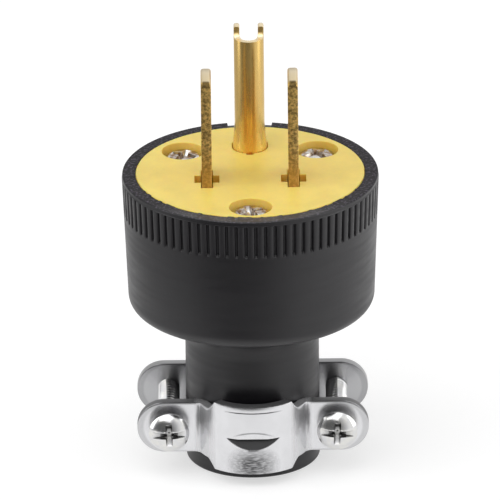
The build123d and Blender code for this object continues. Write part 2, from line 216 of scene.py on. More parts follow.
def add_node(tree, kind, inputs, **settings):
    """Add one node with its settings, and inputs by name or as a list in the order of the sockets in use.

    Each input is a value, a socket, or a node that gives its first output in use. A noise lists its place,
    scale, detail and roughness, and a mix its factor and both ends. A Map Range lists its value, where that
    starts and ends, and what comes out there if it isn't 0 and 1.
    """
    node = tree.nodes.new("ShaderNode" + kind)
    for name, value in settings.items():
        setattr(node, name, value)
    if isinstance(inputs, list):
        pairs = list(zip([socket for socket in node.inputs if socket.enabled], inputs))
    else:
        pairs = [(node.inputs[name], value) for name, value in inputs.items()]
    for socket, value in pairs:
        if isinstance(value, Node):
            value = next(output for output in value.outputs if output.enabled)
        if isinstance(value, NodeSocket):
            tree.links.new(value, socket)
        else:
            socket.default_value = value
    return node


def per_mm(size):
    """Texture scale that makes a pattern's grains about this many millimetres wide."""
    return 1 / (size * MM)


def surface(name, look, *arguments):
    """A material from a look, which gets the function that adds nodes and the place on the object."""
    material = bpy.data.materials.new(name)
    material.use_nodes = True
    material.node_tree.nodes.clear()
    add = partial(add_node, material.node_tree)
    shader = look(add, add("TexCoord", {}).outputs["Object"], *arguments)
    add("OutputMaterial", {"Surface": shader})
    return material


def shade(rgb, factor):
    """A lighter or darker shade of a colour, as a shader takes it."""
    return tuple(min(channel * factor, 1.0) for channel in rgb) + (1.0,)


def moulded_vinyl(add, place, s):
    """Moulded PVC: near black and softly glossy, with a fine grain, flow streaks and a dusty rim."""
    # The real grain and dust are finer than a pixel. Both are drawn coarser, to show.
    grain = add("TexNoise", [place, per_mm(0.35), 3.0])
    cloud = add("TexNoise", [place, per_mm(5.0), 4.0])
    flat = add("Mapping", {"Vector": place, "Scale": (0.12, 0.12, 1.0)})
    streak = add("TexNoise", [flat, per_mm(0.9), 3.0])
    tone = add("Mix", [cloud, shade(s.vinyl, 0.75), shade(s.vinyl, 1.3)], **COLOURS)
    dust_place = add("TexNoise", [place, per_mm(0.4), 2.0])
    _, y, z = add("SeparateXYZ", [place]).outputs
    on_rim = add("MapRange", [z, shell_high.z - 0.25 * MM, shell_high.z - 0.12 * MM])
    dusty = add("MapRange", [dust_place, 0.52, 0.66, 0.0, on_rim])
    dusted = add("Mix", [dusty, tone, shade(s.vinyl, 11.0)], **COLOURS)
    wall_rough = add("MapRange", [streak, 0.3, 0.7, 0.36, 0.48])
    # The rim is worn smooth at the front, and matt elsewhere.
    rim_rough = add("MapRange", [y, -11 * MM, -16.5 * MM, 0.85, 0.38])
    rough = add("Mix", [on_rim, wall_rough, rim_rough])
    bump = add("Bump", {"Height": grain, "Strength": 0.25, "Distance": 0.03 * MM})
    return add("BsdfPrincipled", {"Base Color": dusted, "Roughness": rough, "IOR": 1.53, "Normal": bump})


def moulded_nylon(add, place, s):
    """Moulded nylon: warm yellow and satin, a little light passes into it, and its walls and holes are
    painted a deeper yellow as shade.
    """
    # The real grain is finer than a pixel. It is drawn coarser, to show.
    cloud = add("TexNoise", [place, per_mm(4.0), 5.0])
    grain = add("TexNoise", [place, per_mm(0.3), 2.0])
    mottle = add("Math", [grain, 0.4, cloud], operation="MULTIPLY_ADD")
    top = add("Mix", [mottle, shade(s.nylon, 0.8), shade(s.nylon, 1.08)], **COLOURS)
    # Faces that don't look up, the walls of its holes, slots and edges, take a deeper colour: painted shade
    # and bounce light.
    up = add("SeparateXYZ", [add("NewGeometry", {}).outputs["Normal"]]).outputs["Z"]
    wall = add("MapRange", [up, 0.9, 0.3])
    tone = add("Mix", [wall, top, shade(s.deep, 1.0)], **COLOURS)
    rough = add("MapRange", [grain, 0.3, 0.7, 0.4, 0.52])
    bump = add("Bump", {"Height": grain, "Strength": 0.15, "Distance": 0.03 * MM})
    return add(
        "BsdfPrincipled",
        {
            "Base Color": tone, "Roughness": rough, "IOR": 1.53, "Normal": bump,
            "Subsurface Weight": 0.5, "Subsurface Radius": (1.0, 0.5, 0.1), "Subsurface Scale": 1.2 * MM,
        },
    )


def sheared_brass(add, place, s):
    """Stamped brass strip: bright faces with a painted highlight on top, and sheared edges mottled brown by
    the torn metal, painted dark below the tip and painted amber near the face.
    """
    # The torn metal is really finer. Its mottling is drawn coarser, to show.
    mottle = add("TexNoise", [place, per_mm(0.42), 5.0, 0.7])
    spots = add("MapRange", [mottle, 0.42, 0.6])
    height = add("SeparateXYZ", [place]).outputs["Z"]
    aside, ahead, up = add("SeparateXYZ", [add("NewGeometry", {}).outputs["Normal"]]).outputs
    # Just below the tip the sheared noses, and not round their corners, are painted dark: a painted
    # reflection of dark surroundings.
    top = add("MapRange", [height, s.nose_height - 0.4 * MM, s.nose_height])
    turned = add("Math", [aside], operation="ABSOLUTE")
    nose = add("MapRange", [turned, 0.5, 0.2, 0.0, top])
    shaded = add("Mix", [nose, shade(s.tarnish, 0.62), shade(s.tarnish, 0.2)], **COLOURS)
    polished_and_nose_shade = add("Mix", [nose, shade(s.brass, 1.25), shade(s.tarnish, 0.4)], **COLOURS)
    torn = add("Mix", [spots, shaded, polished_and_nose_shade], **COLOURS)
    # Near the face the edges are less mottled, and painted amber: a painted reflection of the yellow face.
    foot = add("MapRange", [height, face_high.z + 6 * MM, face_high.z + 2 * MM, 0.0, 0.65])
    painted_face_reflection = add("Mix", [foot, torn, shade(s.amber, 0.7)], **COLOURS)
    flat = add("Mix", [mottle, shade(s.brass, 0.8), shade(s.brass, 1.1)], **COLOURS)
    # Faces that look up are painted pale: a painted highlight.
    upward = add("MapRange", [up, 0.5, 0.9, 0.0, 0.75])
    rolled_with_painted_light = add("Mix", [upward, flat, shade(s.pale, 0.86)], **COLOURS)
    side = add("Math", [ahead], operation="ABSOLUTE")
    sheared = add("MapRange", [side, 0.28, 0.4])
    tone = add("Mix", [sheared, rolled_with_painted_light, painted_face_reflection], **COLOURS)
    rough = add("MapRange", [sheared, 0.0, 1.0, 0.3, 0.58])
    bump = add("Bump", {"Height": mottle, "Strength": 0.4, "Distance": 0.04 * MM})
    return add("BsdfPrincipled", {"Base Color": tone, "Metallic": 1.0, "Roughness": rough, "Normal": bump})


def drawn_brass(add, place, s):
    """Folded brass sheet: gold and bright, with fine draw lines along its length, a painted highlight on
    top and a painted reflection of the yellow face near its foot.
    """
    # Real draw lines are finer than a pixel. They are drawn wider, to show.
    along = add("Mapping", {"Vector": place, "Scale": (1.0, 1.0, 0.06)})
    lines = add("TexNoise", [along, per_mm(0.35), 4.0])
    stain = add("TexNoise", [along, per_mm(1.6), 3.0])
    streaked = add("Mix", [stain, shade(s.brass, 0.78), shade(s.brass, 1.12)], **COLOURS)
    # The foot is painted bright gold, and an amber band runs down the middle of the front: a painted
    # reflection of the yellow face.
    x, _, z = add("SeparateXYZ", [place]).outputs
    foot = add("MapRange", [z, face_high.z + 7 * MM, face_high.z + 1 * MM, 0.0, 0.6])
    rubbed = add("Mix", [foot, streaked, shade(s.rubbed, 1.0)], **COLOURS)
    across = add("Math", [x], operation="ABSOLUTE")
    middle = add("MapRange", [across, 1.3 * MM, 0.4 * MM, 0.0, 0.85])
    painted_face_reflection = add("MapRange", [z, face_high.z + 14 * MM, face_high.z + 8 * MM, 0.0, middle])
    warm = add("Mix", [painted_face_reflection, rubbed, shade(s.amber, 1.0)], **COLOURS)
    # Faces that look up are painted pale: a painted highlight.
    up = add("SeparateXYZ", [add("NewGeometry", {}).outputs["Normal"]]).outputs["Z"]
    upward = add("MapRange", [up, 0.4, 0.8, 0.0, 0.75])
    tone = add("Mix", [upward, warm, shade(s.pale, 1.0)], **COLOURS)
    rough = add("MapRange", [lines, 0.3, 0.7, 0.2, 0.34])
    bump = add("Bump", {"Height": lines, "Strength": 0.15, "Distance": 0.02 * MM})
    return add("BsdfPrincipled", {"Base Color": tone, "Metallic": 0.8, "Roughness": rough, "Normal": bump})


def plated_sheet(add, place, s):
    """Zinc-plated sheet steel: pale and satin, dull and grainy where it was sheared, with painted shade on
    the rear half, in and round the crease, and along a pressed line.
    """
    # Real scuffs, and the chatter marks in the dark patch under the crease, are finer. Both are drawn
    # coarser, to show.
    x, y, z = add("SeparateXYZ", [place]).outputs
    _, ahead, up = add("SeparateXYZ", [add("NewGeometry", {}).outputs["Normal"]]).outputs
    cloud = add("TexNoise", [place, per_mm(2.2), 6.0, 0.65])
    scuff = add("TexNoise", [place, per_mm(0.3), 4.0])
    bright = add("Mix", [cloud, shade(s.zinc, 0.88), shade(s.zinc, 1.08)], **COLOURS)
    front = add("MapRange", [y, 1.0 * MM, -1.0 * MM, 0.3, 1.0])
    # The rear half is painted darker: painted shade.
    rolled_with_painted_light = add("Mix", [front, shade(s.zinc, 0.5), bright], **COLOURS)
    torn = add("Mix", [scuff, shade(s.zinc, 0.06), shade(s.zinc, 0.3)], **COLOURS)
    # Sheared edges are dull, but the bends between saddle and ears are drawn bright.
    broad = add("Math", [ahead], operation="ABSOLUTE")
    across = add("Math", [x], operation="ABSOLUTE")
    drawn = add("Math", [across, s.bend_place], operation="SUBTRACT")
    off_bend = add("Math", [drawn], operation="ABSOLUTE")
    kept = add("MapRange", [off_bend, 1.2 * MM, 1.6 * MM, 0.1, 1.0])
    dull = add("MapRange", [broad, 0.45, 0.3, 0.0, kept])
    sheared = add("Math", [dull, front], operation="MULTIPLY")
    edged = add("Mix", [sheared, rolled_with_painted_light, torn], **COLOURS)
    # Painted shade: on the crease's lower slope, along a thin pressed line, and in a patch under the
    # crease.
    slope = add("Math", [broad, 0.6], operation="GREATER_THAN")
    shaded_slope = add("MapRange", [up, 0.34, 0.46, 0.0, slope])
    above = add("Math", [z, s.bend_mark], operation="SUBTRACT")
    off_line = add("Math", [above], operation="ABSOLUTE")
    span = add("MapRange", [across, 4.4 * MM, 2.6 * MM])
    line = add("MapRange", [off_line, 0.11 * MM, 0.05 * MM, 0.0, span])
    # The facet over the crease meets the saddle along an arc, painted dark as shade.
    low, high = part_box("front_clamp_half")
    peak = (low.z + high.z) / 2 + s.crease_height + s.crease_rise
    bow = add("Math", [x, x], operation="MULTIPLY")
    risen = add("Math", [bow, 0.08 / MM, z], operation="MULTIPLY_ADD")
    off_peak = add("Math", [risen, peak], operation="SUBTRACT")
    off_arc = add("Math", [off_peak], operation="ABSOLUTE")
    short = add("MapRange", [across, 3.2 * MM, 1.6 * MM, 0.0, 0.55])
    arc = add("MapRange", [off_arc, 0.16 * MM, 0.06 * MM, 0.0, short])
    patch = add("Mapping", {"Vector": place, "Location": (0.0, 0.0, -1.75 * MM), "Scale": (0.42, 0.0, 0.5)})
    away = add("VectorMath", [patch], operation="LENGTH")
    flat = add("Mapping", {"Vector": place, "Scale": (0.16, 1.0, 1.0)})
    chatter = add("TexNoise", [flat, per_mm(0.17), 2.0])
    ridged = add("MapRange", [chatter, 0.3, 0.6, 0.35, 1.0])
    shade_patch = add("MapRange", [away, 1.75 * MM, 0.4 * MM, 0.0, ridged])
    dark = shaded_slope
    for mark in (line, arc, shade_patch):
        dark = add("Math", [dark, mark], operation="MAXIMUM")
    # Each ear gets a thin grey band along its rim, beyond its screw.
    screw_low, screw_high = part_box("right_clamp_screw")
    past = add("Math", [across, (screw_low.x + screw_high.x) / 2], operation="SUBTRACT")
    beyond = add("Math", [past, 0.0], operation="MAXIMUM")
    level = add("Math", [z, (low.z + high.z) / 2], operation="SUBTRACT")
    spoke = add("CombineXYZ", {"X": beyond, "Z": level})
    reach = add("VectorMath", [spoke], operation="LENGTH")
    rim = add("MapRange", [reach, s.ear_width / 2 - 0.4 * MM, s.ear_width / 2 - 0.05 * MM, 0.0, 0.32])
    greyed = add("MapRange", [across, s.bend_place + 1.0 * MM, s.bend_place + 1.8 * MM, 0.0, rim])
    rimmed = add("Mix", [greyed, edged, shade(s.zinc, 0.3)], **COLOURS)
    tone = add("Mix", [dark, rimmed, shade(s.zinc, 0.1)], **COLOURS)
    satin = add("MapRange", [kept, 0.0, 1.0, 0.5, 0.0])
    faded = add("Math", [sheared, satin], operation="MAXIMUM")
    metal = add("MapRange", [faded, 0.0, 1.0, 1.0, 0.4])
    worst = add("Math", [dark, sheared], operation="MAXIMUM")
    rough = add("MapRange", [worst, 0.0, 1.0, 0.24, 0.5])
    bump = add("Bump", {"Height": scuff, "Strength": 0.12, "Distance": 0.02 * MM})
    return add(
        "BsdfPrincipled", {"Base Color": tone, "Metallic": metal, "Roughness": rough, "Normal": bump}
    )


def plated_screw(add, place, tint, film_tint, shade_reach):
    """Bright-plated screw: mirror-like with small turning marks, a cloudy passivation film, and painted
    shade in its recess and slot.
    """
    # Real turning marks are finer than a pixel. They are drawn coarser, to show.
    film = add("TexNoise", [place, per_mm(1.1), 2.0])
    clouds = add("MapRange", [film, 0.35, 0.65])
    marks = add("TexNoise", [place, per_mm(0.25), 3.0])
    plated = add("Mix", [clouds, shade(film_tint, 0.9), shade(tint, 1.05)], **COLOURS)
    # Painted shade darkens the recess and the slot, where ambient occlusion finds them.
    open_to_air = add("AmbientOcclusion", {"Distance": shade_reach}, only_local=True, samples=8)
    unshaded = add("MapRange", [open_to_air.outputs["AO"], 0.45, 0.9])
    tone = add("Mix", [unshaded, shade(tint, 0.1), plated], **COLOURS)
    rough = add("MapRange", [marks, 0.3, 0.7, 0.12, 0.22])
    bump = add("Bump", {"Height": marks, "Strength": 0.1, "Distance": 0.02 * MM})
    return add("BsdfPrincipled", {"Base Color": tone, "Metallic": 1.0, "Roughness": rough, "Normal": bump})


def round_corners(corners, steps):
    """Profile through corners of (radius, height, round, cut), the last two of them 0 if left out."""
    rows = []
    count = len(corners)
    for index, given in enumerate(corners):
        radius, height, corner_round, cut = (*given, 0.0, 0.0)[:4]
        corner = Vector((radius, height))
        if corner_round == 0:
            rows.append((radius, height, cut))
            continue
        before = (Vector(corners[index - 1][:2]) - corner).normalized()
        after = (Vector(corners[(index + 1) % count][:2]) - corner).normalized()
        half = before.angle(after) / 2
        reach = corner_round / tan(half)
        centre = corner + (before + after).normalized() * corner_round / sin(half)
        start = corner + before * reach - centre
        end = corner + after * reach - centre
        sweep = start.angle_signed(end)
        hold = 0.08 * reach
        rows.append((*(centre + start + before * hold), cut))
        for step in range(steps + 1):
            point = centre + Matrix.Rotation(-sweep * step / steps, 2) @ start
            rows.append((*point, cut))
        rows.append((*(centre + end + after * hold), cut))
    return rows


def skin(bm, rings, loop):
    """Faces between rings of points that close on themselves; loop joins the last ring to the first."""
    rows = [[bm.verts.new(point) for point in ring] for ring in rings]
    pairs = list(zip(rows, rows[1:]))
    if loop:
        pairs.append((rows[-1], rows[0]))
    else:
        bm.faces.new(rows[0])
        bm.faces.new(rows[-1])
    for lower, upper in pairs:
        for place in range(len(lower)):
            after = (place + 1) % len(lower)
            bm.faces.new((lower[place], lower[after], upper[after], upper[place]))


def finished_mesh(bm, name, crease):
    """Mesh of a finished form, smooth but for edges sharper than the crease angle."""
    bmesh.ops.recalc_face_normals(bm, faces=bm.faces)
    mesh = bpy.data.meshes.new(name)
    bm.to_mesh(mesh)
    bm.free()
    mesh.shade_smooth()
    mesh.set_sharp_from_angle(angle=radians(crease))
    return mesh


def closed_mesh(name, rings):
    """Mesh of a form from its rings, with the first and the last one filled."""
    bm = bmesh.new()
    skin(bm, rings, loop=False)
    return finished_mesh(bm, name, 30)


def new_object(name, data):
    """An object that is linked into the scene."""
    item = bpy.data.objects.new(name, data)
    bpy.context.scene.collection.objects.link(item)
    return item


def place_piece(name, mesh, material, node):
    """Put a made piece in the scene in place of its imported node."""
    piece = new_object(name, mesh)
    mesh.materials.clear()
    mesh.materials.append(material)
    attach(piece, BODY)
    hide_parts(node)


def soften_edges(item, width, angle):
    """Round the edges of an object that are sharper than an angle."""
    soften = item.modifiers.new("Softened edges", "BEVEL")
    soften.width = width
    soften.segments = 2
    soften.limit_method = "ANGLE"
    soften.angle_limit = angle
    return soften


def dress_node(name, material, edge):
    """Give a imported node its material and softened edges."""
    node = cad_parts[name]
    node.material_slots[0].material = material
    weld = node.modifiers.new("Weld faces", "WELD")
    weld.merge_threshold = SAME_POINT
    flatten = node.modifiers.new("Flat faces", "DECIMATE")
    flatten.decimate_type = "DISSOLVE"
    flatten.angle_limit = SAME_PLANE
    soften_edges(node, edge, SHARP).harden_normals = True


def ragged(angle):
    """Uneven edge of moulding flash round the rim, from 0 to 1."""
    waves = ((7, 0.4), (19, 2.1), (43, 1.3), (71, 0.2))
    swell = sum(sin(turns * angle + phase) for turns, phase in waves)
    return max(0.0, min(1.0, 0.3 * swell - 0.15))


def carved(mesh, cutters, worn):
    """Mesh with closed cutter forms taken out of it, its sharp edges worn to a small round."""
    body = new_object("carved", mesh)
    tools = [new_object("cutter", cutter) for cutter in cutters]
    for tool in tools:
        cut = body.modifiers.new("Cut", "BOOLEAN")
        cut.object = tool
        cut.solver = "EXACT"
    if worn:
        soften_edges(body, worn, radians(40))
    shaped = bpy.data.meshes.new_from_object(body.evaluated_get(bpy.context.evaluated_depsgraph_get()))
    for spare in (body, *tools):
        bpy.data.objects.remove(spare)
    if not shaped.polygons:
        raise RuntimeError("The cutters left nothing of the piece.")
    return shaped


def circle(radius, segments, spot):
    """Points of a circle, each turned by spot from (x, y) into its place."""
    turns = [tau * step / segments for step in range(segments)]
    return [spot(radius * cos(turn), radius * sin(turn)) for turn in turns]


def screw_head(radius, height, edge_height, slotted, s):
    """Domed pan head with a tapered cross recess, its seat at height 0, and a slot if it is slotted."""
    dome_steps = 9
    above = 0.3 * MM
    worn = 0.05 * MM
    rise = height - edge_height
    sphere = (radius**2 + rise**2) / (2 * rise)
    profile = [(0.9 * radius, 0.0), (0.985 * radius, 0.06 * height), (radius, 0.2 * height)]
    profile.append((radius, edge_height - 0.12 * MM))
    for step in range(1, dome_steps + 1):
        ring = 0.985 * radius * (1 - step / (dome_steps + 0.4))
        profile.append((ring, height - sphere + sqrt(sphere**2 - ring**2)))
    head = closed_mesh("head", [circle(r, 64, lambda x, y, z=z: (x, y, z)) for r, z in profile])
    half_span = s.recess_span / 2
    half_width = s.recess_width / 2
    wing = ((half_span, half_width), (0.3 * half_span, 0.6 * half_width))
    centre = ((1.15 * half_width * 1.4, 1.15 * half_width * 1.4), (0.1 * half_width, 0.1 * half_width))
    wing_depth = 0.92 * s.recess_depth
    cuts = [(wing, 0, wing_depth), (wing, 90, wing_depth), (centre, 45, s.recess_depth)]
    if slotted:
        slot = (1.2 * radius, s.slot_width / 2)
        cuts.append(((slot, slot), 0, s.slot_depth))
    corners = ((1, 1), (-1, 1), (-1, -1), (1, -1))
    cutters = []
    for (top, low), turn, depth in cuts:
        spin = Matrix.Rotation(radians(turn), 3, "Z")
        levels = ((*low, height - depth), (*top, height), (*top, height + above))
        rings = [[spin @ Vector((x * right, y * back, z)) for right, back in corners] for x, y, z in levels]
        cutters.append(closed_mesh("recess", rings))
    return carved(head, cutters, worn)


def screw_shank(radius, end, s):
    """Rings of a threaded shank from the seat down to its end, with a helix and a tapered point."""
    segments = 40
    rows_a_turn = 8
    rings = []
    rows = int(end / s.pitch * rows_a_turn)
    for row in range(rows + 1):
        depth = end * row / rows
        taper = min(1.0, (end - depth) / s.pitch + 0.35)
        ring = []
        for step in range(segments):
            turn = step / segments
            phase = (depth / s.pitch + turn) % 1.0
            crest = min(1.0, max(0.0, 1.5 - 3.6 * abs(phase - 0.5)))
            reach = (radius - s.thread_depth * (1 - crest)) * taper
            ring.append((reach * cos(tau * turn), reach * sin(tau * turn), -depth))
        rings.append(ring)
    return rings


def screw_mesh(name, head, shank_radius, end, turn, stand, s):
    """Whole screw: head and threaded shank in one mesh, turned by some degrees and stood at its seat."""
    bm = bmesh.new()
    bm.from_mesh(head)
    bpy.data.meshes.remove(head)
    skin(bm, screw_shank(shank_radius, end, s), loop=False)
    bmesh.ops.transform(bm, matrix=stand @ Matrix.Rotation(radians(turn), 4, "Z"), verts=bm.verts)
    return finished_mesh(bm, name, 32)


def even(start, end, steps):
    """Numbers in equal steps from start to end, both included."""
    return [start + (end - start) * step / steps for step in range(steps + 1)]


def clamp_path(ear_reach, saddle_front, neck_radius, s):
    """Middle of the bent sheet from ear to ear, as rows of (x, forward, facing x, facing forward)."""
    half = s.sheet / 2
    ear_half = s.ear_width / 2
    bend_middle = s.ear_front + s.bend_radius
    # The bends just meet the neck, and the saddle's arc runs into them.
    bend_x = sqrt((neck_radius + s.sheet + s.bend_radius) ** 2 - bend_middle**2)
    drop = saddle_front - bend_middle
    saddle_radius = (bend_x**2 + drop**2 - s.bend_radius**2) / (2 * (s.bend_radius + drop))
    saddle_middle = saddle_front - saddle_radius
    wrap = atan2(bend_x, bend_middle - saddle_middle)
    ear = s.ear_front - half
    across = [ear_reach - ear_half * (1 - cos(turn)) for turn in even(0.03, pi / 2, 24)]
    across += even(ear_reach - ear_half, bend_x, 6)[1:-1]
    side = [(x, ear, 0.0, 1.0) for x in across]
    reach = s.bend_radius + half
    for turn in even(0.0, wrap, 24):
        facing = (sin(turn), cos(turn))
        side.append((bend_x - reach * facing[0], bend_middle - reach * facing[1], *facing))
    left = [(-x, forward, -facing_x, facing) for x, forward, facing_x, facing in side]
    reach = saddle_radius - half
    bow = [
        (reach * sin(turn), saddle_middle + reach * cos(turn), sin(turn), cos(turn))
        for turn in even(-wrap, wrap, 170)[1:-1]
    ]
    return left + bow + side[::-1]


def clamp_half(name, side, neck_radius, s):
    """Pressed half of the cord clamp: a bent sheet with a bowed, creased saddle and two round ears."""
    low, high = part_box(name)
    ear_reach = high.x
    saddle_front = max(-low.y, high.y)
    middle = (low.z + high.z) / 2
    tall = (high.z - low.z) / 2
    half = s.sheet / 2
    ear_half = s.ear_width / 2

    def half_height(x):
        tip = abs(x) - (ear_reach - ear_half)
        if tip > 0:
            return sqrt(ear_half**2 - tip**2)
        part = (s.saddle_root - abs(x)) / (s.saddle_root - s.saddle_half)
        part = max(0.0, min(1.0, part))
        return ear_half + (tall - ear_half) * part**1.3

    def crease(level):
        up = level - s.crease_height
        if 0 <= up <= s.crease_rise:
            return s.crease_facet * (1 - up / s.crease_rise)
        if -s.crease_fall <= up < 0:
            return s.crease_depth * (1 + up / s.crease_fall)
        return 0.0

    bottom = (s.crease_height - s.crease_fall) / tall
    top = (s.crease_height + s.crease_rise) / tall
    levels = even(-1.0, bottom, 8)[:-1] + even(bottom, top, 52) + even(top, 1.0, 8)[1:]
    rings = []
    for x, forward, facing_x, facing in clamp_path(ear_reach, saddle_front, neck_radius, s):
        reach = half_height(x)
        edge = min(s.sheet_edge, reach / 2)
        turns = even(0, pi / 2, 3)
        corner = [(half - edge * (1 - cos(a)), reach - edge * (1 - sin(a))) for a in turns]
        front = [(half, level * (reach - edge)) for level in levels[1:-1]]
        right = [(out, -up) for out, up in corner[::-1]] + front + corner
        section = right + [(-out, up) for out, up in right[::-1]]
        ring = []
        for out, up in section:
            depth = forward + out * facing
            bite = saddle_front - crease(up) - (half - out)
            ring.append((x + out * facing_x, side * min(depth, bite), middle + up))
        rings.append(ring)
    blank = closed_mesh(name, rings)
    ear_front = side * s.ear_front
    holes = []
    collars = bmesh.new()
    for screw in CLAMP_SCREWS:
        screw_low, screw_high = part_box(screw)
        across = (screw_low.x + screw_high.x) / 2
        clear = s.clamp_shank + (s.hole_clearance if side < 0 else 0.0)

        def ring_at(radius, y):
            return circle(radius, 48, lambda x, z: (across + x, y, middle + z))

        ends = (ear_front - s.bend_radius, ear_front + s.bend_radius)
        holes.append(closed_mesh("hole", [ring_at(clear, end) for end in ends]))
        if side > 0:
            outer = s.collar_radius
            tip = ear_front + s.collar_height
            rows = [(outer, ear_front), (outer, tip - s.sheet_edge), (outer - s.sheet_edge, tip)]
            rows += [(clear, tip), (clear, ear_front)]
            skin(collars, [ring_at(radius, y) for radius, y in rows], loop=True)
    pierced = carved(blank, holes, 0.0)
    collars.from_mesh(pierced)
    return finished_mesh(collars, name, 30)


def contact(name, tip_length, tip_round, edge_round):
    """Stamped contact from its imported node, its tip rounded to enter an outlet and its edges softened."""
    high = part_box(name)[1]
    bm = bmesh.new()
    bm.from_mesh(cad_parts[name].data)
    bmesh.ops.remove_doubles(bm, verts=bm.verts, dist=SAME_POINT)
    bmesh.ops.dissolve_limit(bm, angle_limit=SAME_PLANE, verts=bm.verts, edges=bm.edges)

    def sharp(edge):
        return len(edge.link_faces) == 2 and edge.calc_face_angle() > SHARP

    tip = [
        edge for edge in bm.edges
        if sharp(edge)
        and min(corner.co.z for corner in edge.verts) > high.z - tip_length
        and abs(edge.verts[0].co.x - edge.verts[1].co.x) < 0.01 * MM
    ]
    if not tip:
        raise RuntimeError("The contact has no tip edges to round.")
    bmesh.ops.bevel(bm, geom=tip, offset=tip_round, segments=4, profile=0.5, affect="EDGES")
    rest = [edge for edge in bm.edges if sharp(edge)]
    bmesh.ops.bevel(
        bm, geom=rest, offset=edge_round, segments=2, profile=0.5, affect="EDGES", clamp_overlap=True
    )
    if max(corner.co.z for corner in bm.verts) > high.z + SAME_POINT:
        raise RuntimeError("Rounding took the contact past its packed box.")
    return finished_mesh(bm, name, 30)


def shell_mesh(s, shank):
    """Moulded shell: a turned wall with grip grooves and a ragged rim, and bosses for the face screws."""
    rim = shell_high.x
    top = shell_high.z
    pocket = rim - s.rim_wall
    chamber = pocket - s.ledge_width
    groove_top = top - s.lip_height
    groove_base = groove_top - s.groove_length
    draft = (rim - s.shoulder_radius) / (top - s.shoulder_height)

    def wall(height):
        return s.shoulder_radius + draft * (height - s.shoulder_height)

    soft = s.groove_soft
    grip_rows = (
        (groove_base - s.groove_run, 0.0, 0.0),
        (groove_base, 0.0, 0.0),
        (groove_base + s.groove_run, 0.0, 1.0),
        (groove_top - soft, 0.0, 1.0),
        (groove_top, 0.0, 0.0),
        (groove_top + soft, 0.4 * s.lip_inset, 0.0),
        (groove_top + 2 * soft, s.lip_inset, 0.0),
        (groove_top + 4 * soft, s.lip_inset, 0.0),
    )
    corners = [
        (s.bore_radius, 0.0),
        (s.neck_radius, 0.0, s.neck_edge),
        (s.neck_radius, s.shoulder_height, s.neck_fillet),
        (s.shoulder_radius, s.shoulder_height, s.shoulder_round),
        *[(wall(height) - inset, height, 0.0, cut) for height, inset, cut in grip_rows],
        (rim - s.lip_inset, top - s.rim_fall, s.rim_edge),
        (pocket, top - s.rim_dip),
        (pocket, face_low.z),
        (chamber, face_low.z),
        (chamber, s.floor_height),
        (s.bore_radius + s.throat, s.floor_height),
        (s.bore_radius, s.floor_height - s.throat),
    ]
    mouth = s.groove_mouth / 2
    bottom = s.groove_floor / 2
    pitch = tau * rim / s.groove_count
    edge = (
        (-mouth - soft, 0.0),
        (-mouth + 0.4 * soft, 0.18),
        (-bottom - 0.4 * soft, 0.86),
        (-bottom + soft, 1.0),
    )
    stations = []
    for groove in range(s.groove_count):
        middle = groove * pitch
        stations.append(((middle - pitch / 2) / rim, 0.0))
        stations += [((middle + offset) / rim, deep) for offset, deep in edge]
        stations += [((middle - offset) / rim, deep) for offset, deep in reversed(edge)]
    rings = []
    for radius, height, cut in round_corners(corners, 10):
        at_lip = abs(radius - pocket) < 1e-7 and height == top - s.rim_dip
        ring = []
        for angle, deep in stations:
            reach = radius - cut * deep * s.groove_depth
            level = height
            if at_lip:
                reach -= s.flash * ragged(angle)
                level += s.rim_dip * min(1.0, 4 * ragged(angle))
            x, y = reach * cos(angle), reach * sin(angle)
            notched = y > 0 and abs(x) < s.notch_width / 2
            ring.append((x, y, min(level, top - s.notch_depth) if notched else level))
        rings.append(ring)
    bm = bmesh.new()
    skin(bm, rings, loop=True)
    boss = [(s.boss_radius, s.floor_height), (s.boss_radius, carrier_low.z)]
    boss += [(shank, carrier_low.z), (shank, s.floor_height)]
    for name in FACE_SCREWS:
        low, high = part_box(name)
        middle = (low + high) / 2

        def ring_at(radius, z):
            return circle(radius, 40, lambda x, y: (middle.x + x, middle.y + y, z))

        skin(bm, [ring_at(radius, z) for radius, z in boss], loop=True)
    return finished_mesh(bm, "shell", 38)


class PLUG_OT_shell(Operator):
    """Turn the moulded shell with its grip grooves, ragged rim and screw bosses"""

    bl_idname = "plug.shell"
    bl_label = "Shell"

    def execute(self, context):
        s = context.scene.plug_shell
        mesh = shell_mesh(s, context.scene.plug_clamp.face_shank)
        vinyl = surface("moulded_black_vinyl", moulded_vinyl, s)
        place_piece("moulded_shell", mesh, vinyl, "body_shell")
        return {"FINISHED"}


class PLUG_OT_face(Operator):
    """Finish the moulded face and the terminal carrier behind it"""

    bl_idname = "plug.face"
    bl_label = "Face and carrier"

    def execute(self, context):
        s = context.scene.plug_face
        nylon = surface("moulded_yellow_nylon", moulded_nylon, s)
        for name in ("face_plate", "terminal_carrier"):
            dress_node(name, nylon, s.edge)
        return {"FINISHED"}


class PLUG_OT_blades(Operator):
    """Finish the two stamped blades"""

    bl_idname = "plug.blades"
    bl_label = "Blades"

    def execute(self, context):
        s = context.scene.plug_contact
        brass = surface("stamped_tarnished_brass", sheared_brass, s)
        for name in ("neutral_blade", "hot_blade"):
            mesh = contact(name, s.tip_length, s.tip_round, s.blade_edge)
            place_piece(f"stamped_{name}", mesh, brass, name)
        return {"FINISHED"}


class PLUG_OT_ground_pin(Operator):
    """Finish the folded ground pin"""

    bl_idname = "plug.ground_pin"
    bl_label = "Ground pin"

    def execute(self, context):
        s = context.scene.plug_contact
        mesh = contact("ground_pin", s.pin_edge, s.pin_tip, s.pin_edge)
        brass = surface("drawn_bright_brass", drawn_brass, s)
        place_piece("folded_ground_pin", mesh, brass, "ground_pin")
        return {"FINISHED"}


